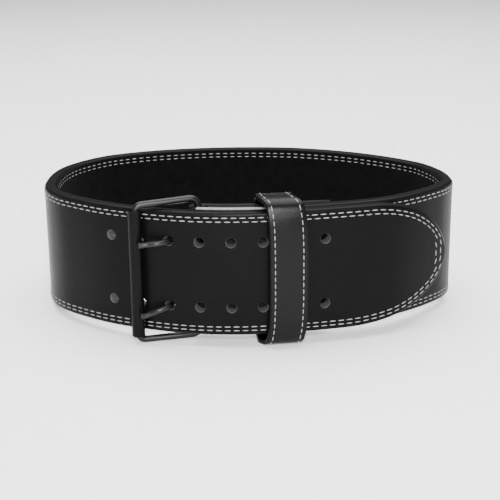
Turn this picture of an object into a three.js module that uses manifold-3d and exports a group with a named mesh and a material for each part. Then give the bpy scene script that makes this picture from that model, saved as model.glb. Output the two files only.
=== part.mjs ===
// A 100 mm leather weightlifting belt, buckled, standing on its lower edge.
// Millimetres, +Z up, the buckle side faces -Y. One strap goes round once and overlaps itself in front.
import * as THREE from 'three';
import { mergeVertices } from 'three/addons/utils/BufferGeometryUtils.js';
import Module from 'manifold-3d';

const manifold = await Module();
manifold.setup();

// Clearance left between pieces that touch
const seatGap = 0.3;

// Strap
const strapHeight = 100;
const leatherThick = 9.8;
const rimRound = 2.6;
const thinRimShare = 0.45;
const liningThick = 1.2;
const liningInset = 1.5;
const overlapGap = 0.8;

// Loop of the buckled belt, over the outer face
const loopWidth = 346;
const loopDepth = 236;
const stationCount = 84;

// Rounded tip of the tongue, measured along the outer face from the middle of the front
const tipReach = 187.5;
const tipBlunt = 8;
const tipLower = { length: 104, power: 0.5 };
const tipUpper = { length: 80, power: 0.6 };
const tipSteps = 14;
const underlapEase = 90;

// Adjusting holes
const holePairs = 8;
const holePitch = 24.7;
const holeDiameter = 7.6;
const holeRowSpacing = 53;
const holeDrop = 0.5;
const holeSides = 12;
const tipToFirstHole = 118;
const prongPair = 5;

// Buckle
const wireDiameter = 5.5;
const pivotPastHole = 20.2;
const frameLength = 45.3;
const frameRoom = 2.4;
const frameDrop = 1.6;
const frameRise = 1.8;
const frameFlare = 1.3;
const frontCornerRadius = 5;
const pivotCornerRadius = 7;
const cornerPoints = 5;
const rollerDiameter = 10.4;
const rollerWall = 1.2;
const rollerSlack = 0.5;
const rollerPastCorner = 1.2;
const prongDiameter = 4.6;
const prongSlotHeight = 9;
const upperProngDrop = 2.2;
const lowerProngDrop = 7.5;

// Buckle fold, the split end of the strap that wraps the pivot bar
const foldThick = 4.5;
const foldFrontLength = 78;
const foldRearLength = 114;
const foldTaperLength = 14;
const foldTipThick = 2;

// Keeper loop
const keeperWidth = 29.5;
const keeperWall = 3.5;
const keeperPlace = 39;
const keeperInnerHeight = 113;
const keeperRise = 0.5;
const keeperBow = 6;
const keeperSkew = 8;
const keeperSteps = 56;

// How the buckled belt leans when it rests on the buckle and its rear edge
const leanBack = 2.53;
const leanSide = -0.33;

// Outer face of the loop seen from above, as shares of half the width and of the depth.
// The rows run from the middle of the front to the right, round the back and home.
const loopRows = [
  { place: 'front middle', across: -0.058, back: 0.0 },
  { place: 'keeper', across: 0.173, back: 0.016 },
  { place: 'tongue', across: 0.358, back: 0.043 },
  { place: 'tongue', across: 0.549, back: 0.079 },
  { place: 'tongue', across: 0.682, back: 0.117 },
  { place: 'tongue', across: 0.798, back: 0.174 },
  { place: 'tip', across: 0.908, back: 0.243 },
  { place: 'right front', across: 0.994, back: 0.316 },
  { place: 'right', across: 1.03, back: 0.4 },
  { place: 'right', across: 1.002, back: 0.497 },
  { place: 'right', across: 0.96, back: 0.589 },
  { place: 'right rear', across: 0.896, back: 0.687 },
  { place: 'rear', across: 0.746, back: 0.797 },
  { place: 'rear', across: 0.581, back: 0.882 },
  { place: 'rear', across: 0.408, back: 0.943 },
  { place: 'rear', across: 0.22, back: 0.985 },
  { place: 'rear middle', across: 0.017, back: 1.0 },
  { place: 'rear', across: -0.191, back: 0.998 },
  { place: 'rear', across: -0.393, back: 0.977 },
  { place: 'rear', across: -0.59, back: 0.934 },
  { place: 'left rear', across: -0.769, back: 0.865 },
  { place: 'left rear', across: -0.908, back: 0.75 },
  { place: 'left', across: -0.977, back: 0.64 },
  { place: 'left', across: -1.0, back: 0.496 },
  { place: 'left', across: -0.98, back: 0.36 },
  { place: 'left front', across: -0.908, back: 0.267 },
  { place: 'left front', across: -0.798, back: 0.193 },
  { place: 'left front', across: -0.647, back: 0.117 },
  { place: 'buckle', across: -0.462, back: 0.056 },
  { place: 'buckle', across: -0.26, back: 0.013 },
];

// Sizes that follow from the ones above
const strapThick = leatherThick + seatGap + liningThick;
const stack = strapThick + overlapGap;
const strapMiddle = strapHeight / 2;
const frameInnerHeight = strapHeight + 2 * frameRoom;
const wireRadius = wireDiameter / 2;
const rollerRadius = rollerDiameter / 2;
const prongRadius = prongDiameter / 2;
const innerPlyThick = strapThick - foldThick - seatGap;
const firstHole = tipReach - tipToFirstHole;

const loopCurve = new THREE.CatmullRomCurve3(
  loopRows.map(({ across, back }) => new THREE.Vector3((across * loopWidth) / 2, back * loopDepth, 0)),
  true,
  'centripetal',
);
loopCurve.arcLengthDivisions = 3000;
const loopLength = loopCurve.getLength();

// Point of the outer face at a distance along it, its tangent and its outward normal
function loopAt(distance) {
  const share = THREE.MathUtils.euclideanModulo(distance / loopLength, 1);
  const point = loopCurve.getPointAt(share);
  const tangent = loopCurve.getTangentAt(share);
  const outward = new THREE.Vector3(tangent.y, -tangent.x, 0);
  return { point, tangent, outward };
}

// Point off the outer face, outward if positive, at a height above the lower edge
function offLoop(distance, outwardBy, height) {
  const { point, outward } = loopAt(distance);
  return point.clone().addScaledVector(outward, outwardBy).setZ(height);
}

// How far the strap lies inside the outer loop: a whole stack under the tongue, nothing past it
function strapInset(distance) {
  const freeStart = tipReach + overlapGap;
  return stack * (1 - THREE.MathUtils.smootherstep(distance, freeStart, freeStart + underlapEase));
}

// How far the strap reaches from its middle at a distance: all the way, then the oval of the tip
function reachAt(distance, { length, power }) {
  const past = (distance - loopLength - tipReach) / length + 1;
  const along = THREE.MathUtils.clamp(past, 0, 1);
  return Math.max(strapMiddle * (1 - along * along) ** power, tipBlunt / 2);
}

// Closed solid through rings with equal numbers of points; convex end caps unless the rings close
function loft(rings, closes) {
  const count = rings[0].length;
  const positions = rings.flat().flatMap((point) => [point.x, point.y, point.z]);
  const faces = [];
  const last = closes ? rings.length : rings.length - 1;
  for (let ring = 0; ring < last; ring += 1) {
    const next = (ring + 1) % rings.length;
    for (let side = 0; side < count; side += 1) {
      const other = (side + 1) % count;
      const [a, b] = [ring * count + side, ring * count + other];
      const [c, d] = [next * count + other, next * count + side];
      faces.push(a, b, c, a, c, d);
    }
  }
  if (!closes) {
    const end = (rings.length - 1) * count;
    for (let side = 1; side < count - 1; side += 1) {
      faces.push(0, side + 1, side);
      faces.push(end, end + side, end + side + 1);
    }
  }
  const geometry = new THREE.BufferGeometry();
  geometry.setAttribute('position', new THREE.Float32BufferAttribute(positions, 3));
  geometry.setIndex(faces);
  return facingOut(geometry);
}

// Turns the triangles over if the solid came out inside out
function facingOut(geometry) {
  const position = geometry.getAttribute('position');
  const index = geometry.getIndex().array;
  const [a, b, c] = [new THREE.Vector3(), new THREE.Vector3(), new THREE.Vector3()];
  let volume = 0;
  for (let face = 0; face < index.length; face += 3) {
    a.fromBufferAttribute(position, index[face]);
    b.fromBufferAttribute(position, index[face + 1]);
    c.fromBufferAttribute(position, index[face + 2]);
    volume += a.dot(b.clone().cross(c));
  }
  if (volume < 0) geometry.setIndex(Array.from(index).reverse());
  return geometry;
}

// Rounded rectangle in the plane of the inward direction and Z, as [inward, height] pairs
function roundedSection(inward, thick, bottom, top, radius) {
  const middle = { inward: inward + thick / 2, height: (bottom + top) / 2 };
  const reach = { inward: thick / 2 - radius, height: (top - bottom) / 2 - radius };
  const signs = [[1, -1], [1, 1], [-1, 1], [-1, -1]];
  const shares = radius > 0 ? [0, 0.5, 1] : [0];
  return signs.flatMap(([side, up], corner) => {
    return shares.map((share) => {
      const angle = (corner - 1 + share) * (Math.PI / 2);
      const inwardBy = middle.inward + side * reach.inward + radius * Math.cos(angle);
      const height = middle.height + up * reach.height + radius * Math.sin(angle);
      return [inwardBy, height];
    });
  });
}

// One ring of a strap-like solid at a distance along the loop
function strapRing(distance, section) {
  return section.map(([inward, height]) => offLoop(distance, -inward, height));
}

// Distances between two ends, at even steps that fall on the same places on every lap
function stationsBetween(from, to) {
  const step = loopLength / stationCount;
  const stations = [from];
  for (let turn = Math.floor(from / step) + 1; turn * step < to; turn += 1) {
    const far = turn * step - from > step / 4 && to - turn * step > step / 4;
    if (far) stations.push(turn * step);
  }
  stations.push(to);
  return stations;
}

// Round ring of points about a centre, in the plane of two directions
function wireRing(centre, across, up, radius, sides) {
  return Array.from({ length: sides }, (_, side) => {
    const angle = (side / sides) * Math.PI * 2;
    return centre
      .clone()
      .addScaledVector(across, radius * Math.cos(angle))
      .addScaledVector(up, radius * Math.sin(angle));
  });
}

// An open wire along a smooth curve through the points
function openWire(points, radius, sides) {
  const curve = new THREE.CatmullRomCurve3(points, false, 'centripetal');
  const steps = points.length * 3;
  const frames = curve.computeFrenetFrames(steps, false);
  const rings = frames.normals.map((normal, ring) => {
    return wireRing(curve.getPointAt(ring / steps), normal, frames.binormals[ring], radius, sides);
  });
  return loft(rings, false);
}

// A closed flat wire whose rings sit on the given points
function closedWire(points, radius, sides) {
  const count = points.length;
  const across = points[1].clone().sub(points[0]);
  const flat = across.cross(points[2].clone().sub(points[1])).normalize();
  const rings = points.map((point, index) => {
    const before = point.clone().sub(points[(index + count - 1) % count]).normalize();
    const after = points[(index + 1) % count].clone().sub(point).normalize();
    const side = after.add(before).normalize().cross(flat);
    return wireRing(point, side, flat, radius, sides);
  });
  return loft(rings, true);
}

// Positions and faces alone, with points that coincide made one
function bare(geometry) {
  const plain = new THREE.BufferGeometry();
  plain.setAttribute('position', geometry.getAttribute('position').clone());
  if (geometry.getIndex()) plain.setIndex(geometry.getIndex().clone());
  return mergeVertices(plain, 1e-4);
}

// Boolean work is done by manifold-3d
function toSolid(geometry) {
  const merged = bare(geometry);
  return new manifold.Manifold(new manifold.Mesh({
    numProp: 3,
    vertProperties: new Float32Array(merged.getAttribute('position').array),
    triVerts: new Uint32Array(merged.getIndex().array),
  }));
}

function toGeometry(solid) {
  const mesh = solid.getMesh();
  const geometry = new THREE.BufferGeometry();
  geometry.setAttribute('position', new THREE.BufferAttribute(mesh.vertProperties, 3));
  geometry.setIndex(new THREE.BufferAttribute(mesh.triVerts, 1));
  return geometry;
}

function cut(geometry, cutters) {
  const solid = cutters.reduce((rest, cutter) => rest.subtract(toSolid(cutter)), toSolid(geometry));
  return toGeometry(solid);
}

function join(...geometries) {
  const solid = geometries.map(toSolid).reduce((whole, piece) => whole.add(piece));
  return toGeometry(solid);
}

function named(name, geometry, material) {
  const shaded = geometry.toNonIndexed();
  shaded.computeVertexNormals();
  const mesh = new THREE.Mesh(mergeVertices(shaded), material);
  mesh.name = name;
  return mesh;
}

const leatherBlack = new THREE.MeshStandardMaterial({ color: 0x262626, roughness: 0.55, metalness: 0 });
const suedeBlack = new THREE.MeshStandardMaterial({ color: 0x101010, roughness: 0.95, metalness: 0 });
const foldLeather = new THREE.MeshStandardMaterial({ color: 0x3a3835, roughness: 0.7, metalness: 0 });
const blackMetal = new THREE.MeshStandardMaterial({ color: 0x1c1c1d, roughness: 0.42, metalness: 0.6 });

// Places along the loop that several pieces share
const holeDistance = (pair) => firstHole - pair * holePitch;
const pivotDistance = holeDistance(prongPair) + pivotPastHole;
const rollerDistance = pivotDistance - frameLength;
const pivotInward = stack + foldThick + seatGap + wireRadius;
const pivotCentre = offLoop(pivotDistance, -pivotInward, strapMiddle);
const rollerCentre = offLoop(rollerDistance, seatGap + rollerRadius, strapMiddle);
const strapStart = pivotDistance + wireRadius + prongDiameter + 6 * seatGap;
const plyStep = pivotDistance + foldFrontLength;
const holeMiddle = strapMiddle - holeDrop;
const lowerHole = holeMiddle - holeRowSpacing / 2;
const upperHole = holeMiddle + holeRowSpacing / 2;

// Prong from its eye on the bar through its hole to the roller. Each row starts at a place and
// a level off the outer face, and adds prong radii; down is the share of the prong's drop.
const prongRows = [
  { place: 'eye', from: pivotDistance, along: -1.15, level: -pivotInward, out: 1.85, down: -0.4 },
  { place: 'inside', from: holeDistance(prongPair), along: 2.9, level: -strapThick, out: -1.8, down: -0.2 },
  { place: 'hole', from: holeDistance(prongPair), along: 0.1, level: -strapThick, out: -0.8, down: 0 },
  { place: 'hole', from: holeDistance(prongPair), along: -0.1, level: 0, out: 0.7, down: 0.05 },
  { place: 'outside', from: holeDistance(prongPair), along: -2.4, level: 0, out: 3.3, down: 0.25 },
  { place: 'roller', from: rollerDistance, along: 5.4, level: rollerDiameter, out: -0.35, down: 0.65 },
  { place: 'roller', from: rollerDistance, along: 3.6, level: rollerDiameter, out: 0.4, down: 0.9 },
  { place: 'tip', from: rollerDistance, along: 2, level: rollerDiameter, out: 0.75, down: 1 },
];

function prongHeight(hole, drop, row) {
  return hole - drop * row.down;
}

function holeCutters() {
  const cutters = [];
  for (let pair = 0; pair < holePairs; pair += 1) {
    const distance = holeDistance(pair);
    const { outward } = loopAt(distance);
    const turn = new THREE.Quaternion().setFromUnitVectors(THREE.Object3D.DEFAULT_UP, outward);
    for (const height of [lowerHole, upperHole]) {
      const radius = holeDiameter / 2;
      const cutter = new THREE.CylinderGeometry(radius, radius, strapThick * 2, holeSides);
      const centre = offLoop(distance, -strapThick / 2, height);
      cutters.push(cutter.applyQuaternion(turn).translate(centre.x, centre.y, centre.z));
    }
  }
  return cutters;
}

// Stations of the full strap on its way to the tip, closer together round the oval
function strapStations(from) {
  const tipStart = loopLength + tipReach - tipLower.length;
  const bluntAngle = Math.acos(tipBlunt / strapHeight);
  const oval = Array.from({ length: tipSteps }, (_, step) => {
    return tipStart + tipLower.length * Math.sin((bluntAngle * (step + 1)) / tipSteps);
  });
  return [...stationsBetween(from, tipStart), ...oval];
}

// Section of a ply at its full height, its rims rounded as far as its thickness allows
function plySection(inward, thick) {
  return roundedSection(inward, thick, 0, strapHeight, Math.min(rimRound, thick * thinRimShare));
}

function buildStrap() {
  const thin = stationsBetween(strapStart, plyStep).map((distance) => {
    const inward = strapInset(distance) + foldThick + seatGap;
    return strapRing(distance, plySection(inward, innerPlyThick));
  });
  const full = strapStations(plyStep + seatGap).map((distance) => {
    const bottom = strapMiddle - reachAt(distance, tipLower);
    const top = strapMiddle + reachAt(distance, tipUpper);
    return strapRing(distance, roundedSection(strapInset(distance), leatherThick, bottom, top, rimRound));
  });
  return cut(loft([...thin, ...full], false), holeCutters());
}

function buildLining() {
  const rings = strapStations(plyStep + 2 * seatGap).map((distance) => {
    const bottom = strapMiddle - reachAt(distance, tipLower) + liningInset;
    const top = strapMiddle + reachAt(distance, tipUpper) - liningInset;
    const inward = strapInset(distance) + leatherThick + seatGap;
    return strapRing(distance, roundedSection(inward, liningThick, bottom, top, 0));
  });
  return cut(loft(rings, false), holeCutters());
}

// The fold lies between the tongue and the thinned strap, turns round the bar and runs back inside
function buildFold() {
  const rear = stack + strapThick + seatGap;
  const frontRings = stationsBetween(pivotDistance, plyStep - seatGap)
    .reverse()
    .map((distance) => strapRing(distance, plySection(stack, foldThick)));
  const wrapSteps = 8;
  const wrapRadius = wireRadius + seatGap + foldThick;
  const { outward, tangent } = loopAt(pivotDistance);
  const wrapRings = Array.from({ length: wrapSteps - 1 }, (_, index) => {
    const angle = (Math.PI * (index + 1)) / wrapSteps;
    const away = outward.clone().multiplyScalar(Math.cos(angle));
    away.addScaledVector(tangent, -Math.sin(angle));
    return plySection(0, foldThick).map(([inward, height]) => {
      return pivotCentre.clone().addScaledVector(away, wrapRadius - inward).setZ(height);
    });
  });
  const rearEnd = pivotDistance + foldRearLength;
  const taperStart = rearEnd - foldTaperLength;
  const rearRings = [...stationsBetween(pivotDistance, taperStart), rearEnd].map((distance) => {
    const thick = distance > taperStart ? foldTipThick : foldThick;
    const turned = plySection(rear, thick).map(([inward, height]) => [2 * rear + thick - inward, height]);
    return strapRing(distance, turned);
  });
  const slotReach = wireRadius + prongDiameter + 2 * seatGap;
  const slotLength = 2 * wrapRadius + slotReach;
  const prongs = [
    { hole: lowerHole, drop: lowerProngDrop },
    { hole: upperHole, drop: upperProngDrop },
  ];
  const slots = prongs.map(({ hole, drop }) => {
    const slot = new THREE.BoxGeometry(slotLength, slotLength, prongSlotHeight);
    const centre = pivotCentre.clone().addScaledVector(tangent, slotReach - slotLength / 2);
    const turn = Math.atan2(tangent.y, tangent.x);
    return slot.rotateZ(turn).translate(centre.x, centre.y, prongHeight(hole, drop, prongRows[0]));
  });
  return cut(loft([...frontRings, ...wrapRings, ...rearRings], false), slots);
}

// A flat wire rectangle, a little taller and higher at the bar than at the roller
function buildFrame() {
  const along = pivotCentre.clone().sub(rollerCentre).setZ(0);
  const length = along.length();
  along.normalize();
  const corners = [
    { run: rollerSlack, towards: 1, up: 1, radius: frontCornerRadius, start: 180, grown: 0 },
    { run: length, towards: -1, up: 1, radius: pivotCornerRadius, start: 90, grown: 1 },
    { run: length, towards: -1, up: -1, radius: pivotCornerRadius, start: 0, grown: 1 },
    { run: rollerSlack, towards: 1, up: -1, radius: frontCornerRadius, start: -90, grown: 0 },
  ];
  const points = corners.flatMap(({ run, towards, up, radius, start, grown }) => {
    const halfHeight = (frameInnerHeight + wireDiameter) / 2 + frameFlare * grown;
    const middle = strapMiddle - frameDrop + frameRise * grown;
    return Array.from({ length: cornerPoints }, (_, step) => {
      const angle = THREE.MathUtils.degToRad(start - (90 * step) / (cornerPoints - 1));
      const out = run + towards * radius + radius * Math.cos(angle);
      const height = middle + up * (halfHeight - radius) + radius * Math.sin(angle);
      return rollerCentre.clone().addScaledVector(along, out).setZ(height);
    });
  });
  return closedWire(points, wireRadius, 10);
}

function buildRoller() {
  const straight = frameInnerHeight + wireDiameter - 2 * frontCornerRadius;
  const half = straight / 2 + rollerPastCorner;
  const bore = rollerRadius - rollerWall;
  const edge = rollerWall / 2;
  const profile = [
    [bore, -half], [rollerRadius - edge, -half], [rollerRadius, -half + edge],
    [rollerRadius, half - edge], [rollerRadius - edge, half], [bore, half], [bore, -half],
  ].map(([radius, height]) => new THREE.Vector2(radius, height));
  const roller = new THREE.LatheGeometry(profile, 20).rotateX(Math.PI / 2);
  return facingOut(bare(roller)).translate(rollerCentre.x, rollerCentre.y, strapMiddle - frameDrop);
}

function buildProng(hole, drop) {
  const eye = new THREE.TorusGeometry(wireRadius + seatGap + prongRadius, prongRadius, 8, 18);
  eye.translate(pivotCentre.x, pivotCentre.y, prongHeight(hole, drop, prongRows[0]));
  const points = prongRows.map((row) => {
    const distance = row.from + row.along * prongRadius;
    return offLoop(distance, row.level + row.out * prongRadius, prongHeight(hole, drop, row));
  });
  return join(bare(eye), openWire(points, prongRadius, 8));
}

// Keeper seen along the strap: outward and up, as shares of the room round the stack
const keeperRows = [
  { place: 'front middle', outward: 1.0, up: 0.0 },
  { place: 'front', outward: 0.95, up: 0.5 },
  { place: 'front', outward: 0.72, up: 0.8 },
  { place: 'front shoulder', outward: 0.25, up: 0.955 },
  { place: 'top', outward: -0.3, up: 1.0 },
  { place: 'rear slope', outward: -0.83, up: 0.955 },
  { place: 'rear shoulder', outward: -1.005, up: 0.87 },
  { place: 'rear', outward: -1.0, up: 0.6 },
  { place: 'rear', outward: -1.0, up: -0.6 },
  { place: 'rear shoulder', outward: -1.005, up: -0.93 },
  { place: 'rear slope', outward: -0.88, up: -0.985 },
  { place: 'bottom', outward: -0.3, up: -1.0 },
  { place: 'front shoulder', outward: 0.25, up: -0.955 },
  { place: 'front', outward: 0.72, up: -0.8 },
  { place: 'front', outward: 0.95, up: -0.5 },
];

// The leather runs round the stack; its front is pushed along the strap past its top and bottom
function buildKeeper() {
  const stackDepth = 2 * strapThick + overlapGap + seatGap + foldThick;
  const frontRoom = seatGap + keeperBow + keeperWall / 2;
  const rearRoom = stackDepth + seatGap + keeperWall / 2;
  const halfHeight = (keeperInnerHeight + keeperWall) / 2;
  const plan = keeperRows.map(({ outward, up }) => {
    const outwardBy = outward * (outward > 0 ? frontRoom : rearRoom);
    return new THREE.Vector3(outwardBy, strapMiddle + keeperRise + up * halfHeight, 0);
  });
  const curve = new THREE.CatmullRomCurve3(plan, true, 'centripetal');
  const sides = [-1, -1 / 3, 1 / 3, 1];
  const outline = [...sides.map((side) => [-1, side]), ...sides.map((side) => [1, -side])];
  const rings = Array.from({ length: keeperSteps }, (_, step) => {
    const spot = curve.getPointAt(step / keeperSteps);
    const along = curve.getTangentAt(step / keeperSteps);
    const skew = keeperSkew * Math.min((frontRoom - spot.x) / (2 * frontRoom), 1);
    return outline.map(([wall, side]) => {
      const outwardBy = spot.x + (wall * along.y * keeperWall) / 2;
      const height = spot.y - (wall * along.x * keeperWall) / 2;
      return offLoop(keeperPlace + (side * keeperWidth) / 2 - skew, outwardBy, height);
    });
  });
  return loft(rings, true);
}

const belt = new THREE.Group();
belt.add(named('strap', buildStrap(), leatherBlack));
belt.add(named('suede_lining', buildLining(), suedeBlack));
belt.add(named('buckle_fold', buildFold(), foldLeather));
belt.add(named('buckle_frame', buildFrame(), blackMetal));
belt.add(named('buckle_roller', buildRoller(), blackMetal));
belt.add(named('prong_lower', buildProng(lowerHole, lowerProngDrop), blackMetal));
belt.add(named('prong_upper', buildProng(upperHole, upperProngDrop), blackMetal));
belt.add(named('keeper', buildKeeper(), leatherBlack));
belt.rotation.set(THREE.MathUtils.degToRad(-leanBack), THREE.MathUtils.degToRad(leanSide), 0);
belt.updateMatrixWorld(true);

// The origin is the middle of the lowest face of the box round the part
const box = new THREE.Box3().setFromObject(belt, true);
const centre = box.getCenter(new THREE.Vector3());
belt.position.set(-centre.x, -centre.y, -box.min.z);

export default belt;
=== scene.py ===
# %% [markdown]
# # A buckled leather weightlifting belt
# A stiff black leather strap goes once round, overlaps itself in front and is closed by a
# two-prong roller buckle. The leather pieces are laid out flat, as a maker cuts them, and are
# then bent onto the loop. The metal is modelled in place.

import math

import bpy
import numpy as np
from mathutils import Matrix, Vector, kdtree


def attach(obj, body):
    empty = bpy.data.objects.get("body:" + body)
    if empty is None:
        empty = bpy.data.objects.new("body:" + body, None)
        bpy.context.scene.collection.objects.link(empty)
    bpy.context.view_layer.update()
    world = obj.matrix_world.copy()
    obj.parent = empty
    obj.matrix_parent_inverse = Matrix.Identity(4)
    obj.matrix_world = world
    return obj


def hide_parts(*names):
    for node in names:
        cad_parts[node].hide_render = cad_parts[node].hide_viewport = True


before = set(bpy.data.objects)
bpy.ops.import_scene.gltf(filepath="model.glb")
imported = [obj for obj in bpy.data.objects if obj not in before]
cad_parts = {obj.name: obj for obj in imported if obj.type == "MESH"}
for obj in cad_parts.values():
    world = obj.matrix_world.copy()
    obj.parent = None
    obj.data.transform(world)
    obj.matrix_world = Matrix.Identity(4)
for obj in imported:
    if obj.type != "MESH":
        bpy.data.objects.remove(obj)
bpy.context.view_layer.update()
MM = 0.001

# %% [markdown]
# ## The loop that the strap follows
# Seen from above, the buckled strap is an uneven ring: nearly flat in front, tight at both
# sides and gently bowed behind. The rows give its outer face as shares of half the width and
# of the depth, from the middle of the front to the right, round the back and home.

# %% The outer face seen from above
loop_width = 346.0
loop_depth = 236.0
loop_rows = [
    (-0.058, 0.0), (0.173, 0.016), (0.358, 0.043), (0.549, 0.079), (0.682, 0.117),
    (0.798, 0.174), (0.908, 0.243), (0.994, 0.316), (1.03, 0.4), (1.002, 0.497),
    (0.96, 0.589), (0.896, 0.687), (0.746, 0.797), (0.581, 0.882), (0.408, 0.943),
    (0.22, 0.985), (0.017, 1.0), (-0.191, 0.998), (-0.393, 0.977), (-0.59, 0.934),
    (-0.769, 0.865), (-0.908, 0.75), (-0.977, 0.64), (-1.0, 0.496), (-0.98, 0.36),
    (-0.908, 0.267), (-0.798, 0.193), (-0.647, 0.117), (-0.462, 0.056), (-0.26, 0.013),
]


def smooth_through(points, closed, steps):
    """Points along a smooth curve through the given ones, which stays calm where two are close."""
    tiny = 1e-9
    points = np.array(points, float)
    count = len(points)
    spans = count if closed else count - 1
    pieces = []
    for span in range(spans):
        if closed:
            p0, p1, p2, p3 = (points[(span + k) % count] for k in (-1, 0, 1, 2))
        else:
            p1, p2 = points[span], points[span + 1]
            p0 = points[span - 1] if span else 2 * p1 - p2
            p3 = points[span + 2] if span + 2 < count else 2 * p2 - p1
        pairs = ((p0, p1), (p1, p2), (p2, p3))
        t0, t1, t2 = (max(np.linalg.norm(b - a), tiny) ** 0.5 for a, b in pairs)
        slope1 = ((p1 - p0) / t0 - (p2 - p0) / (t0 + t1) + (p2 - p1) / t1) * t1
        slope2 = ((p2 - p1) / t1 - (p3 - p1) / (t1 + t2) + (p3 - p2) / t2) * t1
        t = np.linspace(0, 1, steps, endpoint=False)[:, None]
        bend = (-3 * p1 + 3 * p2 - 2 * slope1 - slope2) * t**2
        pieces.append(p1 + slope1 * t + bend + (2 * p1 - 2 * p2 + slope1 + slope2) * t**3)
    pieces.append(points[:1] if closed else points[-1:])
    return np.vstack(pieces)


class Rail:
    """A curve that can be asked for its point and its direction at a length along it."""

    def __init__(self, points):
        self.points = points
        self.lengths = np.append(0, np.cumsum(np.linalg.norm(np.diff(points, axis=0), axis=1)))
        self.length = self.lengths[-1]
        self.slopes = np.gradient(points, self.lengths, axis=0)

    def at(self, along):
        point = np.stack([np.interp(along, self.lengths, column) for column in self.points.T], -1)
        slope = np.stack([np.interp(along, self.lengths, column) for column in self.slopes.T], -1)
        return point, slope / np.linalg.norm(slope, axis=-1, keepdims=True)


loop_steps = 200
loop_line = [(a * loop_width / 2, b * loop_depth) for a, b in loop_rows]
loop = Rail(smooth_through(loop_line, True, loop_steps))
print("length of the loop in mm:", round(loop.length, 1))

# %% [markdown]
# ## Where the belt stands
# The belt leans back a little, because the keeper and the rear edge reach lowest. Every piece
# is drawn upright beside the loop first and then gets the same lean and place.

# %% Lean and place of the belt
lean_back = 2.53
lean_side = -0.33
belt_place = Vector((1.0629, -116.8086, 10.5759))
turned_back = Matrix.Rotation(math.radians(-lean_back), 3, "X")
lean = turned_back @ Matrix.Rotation(math.radians(lean_side), 3, "Y")
stand = Matrix.Translation(belt_place * MM) @ lean.to_4x4()


def off_loop(distance, inward, height):
    """Points beside the loop, in mm, at a distance along it, a depth inside it and a height."""
    point, slope = loop.at(np.mod(distance, loop.length))
    out = np.stack([slope[..., 1], -slope[..., 0]], -1)
    flat = point - out * np.asarray(inward)[..., None]
    return np.concatenate([flat, np.broadcast_to(height, flat.shape[:-1])[..., None]], -1)


def standing(points):
    """Points beside the loop, in mm, as places in the frame, in metres."""
    return points @ np.array(lean).T * MM + np.array(belt_place) * MM


# %% [markdown]
# ## Sizes of the leather
# The strap is 100 mm high and a little over 11 mm thick: split leather with a suede lining
# glued and sewn to its inner face. The tongue ends in a long oval tip, whose lower and upper
# halves each have a length and a power, and a power of 0.5 gives an ellipse. Distances run along
# the loop from near the middle of the front, so the bar and the roller have negative ones.

# %% Strap sizes
strap_height = 100.0
strap_middle = strap_height / 2
leather_thick = 10.0
lining_thick = 1.3
strap_thick = leather_thick + lining_thick
overlap_gap = 0.8
stack = strap_thick + overlap_gap
rim_round = 2.6
fold_thick = 4.5
seat_gap = 0.3
wire_radius = 2.75
prong_radius = 2.3
tip_reach = 187.5
tip_lower = (104.0, 0.5)
tip_upper = (80.0, 0.6)
underlap_ease = 90.0
tip_end = loop.length + tip_reach
hole_pitch = 24.7
first_hole = 69.5
hole_pairs = 8
hole_heights = (23.0, 76.0)
fastened_pair = 5
hole_to_bar = 20.2
bar_to_roller = 45.3
bar_to_step = 78.0
prong_hole = first_hole - fastened_pair * hole_pitch
pivot_distance = prong_hole + hole_to_bar
roller_distance = pivot_distance - bar_to_roller
strap_start = pivot_distance + wire_radius + 2 * prong_radius + 6 * seat_gap
ply_step = pivot_distance + bar_to_step


def strap_inset(distance):
    """How deep the strap lies inside the loop: one stack under the tongue, easing to nothing."""
    free_start = tip_reach + overlap_gap
    ease = np.clip((distance - free_start) / underlap_ease, 0, 1)
    return stack * (1 - ease**3 * (ease * (6 * ease - 15) + 10))


def reach_at(distance, side):
    """How far the strap reaches from its middle: all the way, then the oval of the tip."""
    length, power = side
    along = np.clip((distance - tip_end) / length + 1, 0, 1)
    least = 0.0001  # the two edges stay just apart at the very tip
    return strap_middle * np.maximum(1 - along**2, least) ** power


def strap_path(distance, inward, height):
    """A place in the flat strap, in mm, once the strap is bent onto the loop."""
    return off_loop(distance, strap_inset(distance) + inward, height)


marks = {"bar": pivot_distance, "roller": roller_distance, "step of the strap": ply_step}
print("distances in mm:", {name: round(distance, 1) for name, distance in marks.items()})

# %% [markdown]
# ## Colours and a way to add nodes
# Colours are read as sRGB codes. Each finish is built from a few nodes, and their patterns use
# the piece's own flat length, depth and height, which are kept on its mesh before it is bent.

# %% Colour and node helpers
def paint(code):
    """An sRGB code such as #808080 as a linear colour."""
    shares = [int(code[place : place + 2], 16) / 255 for place in (1, 3, 5)]
    return [c / 12.92 if c <= 0.04045 else ((c + 0.055) / 1.055) ** 2.4 for c in shares] + [1.0]


def add_node(tree, kind, settings=None, values=None, links=None):
    """A node with its settings, its socket values and the links into it."""
    node = tree.nodes.new(kind)
    for name, value in (settings or {}).items():
        setattr(node, name, value)
    for name, value in (values or {}).items():
        node.inputs[name].default_value = value
    for name, socket in (links or {}).items():
        tree.links.new(socket, node.inputs[name])
    return node


def new_finish(name, values):
    """A material of that name, with its tree and its shader, whose plain values are set."""
    finish = bpy.data.materials.new(name)
    finish.use_nodes = True
    tree = finish.node_tree
    shader = tree.nodes["Principled BSDF"]
    for socket, value in values.items():
        shader.inputs[socket].default_value = value
    return finish, tree, shader


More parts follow.
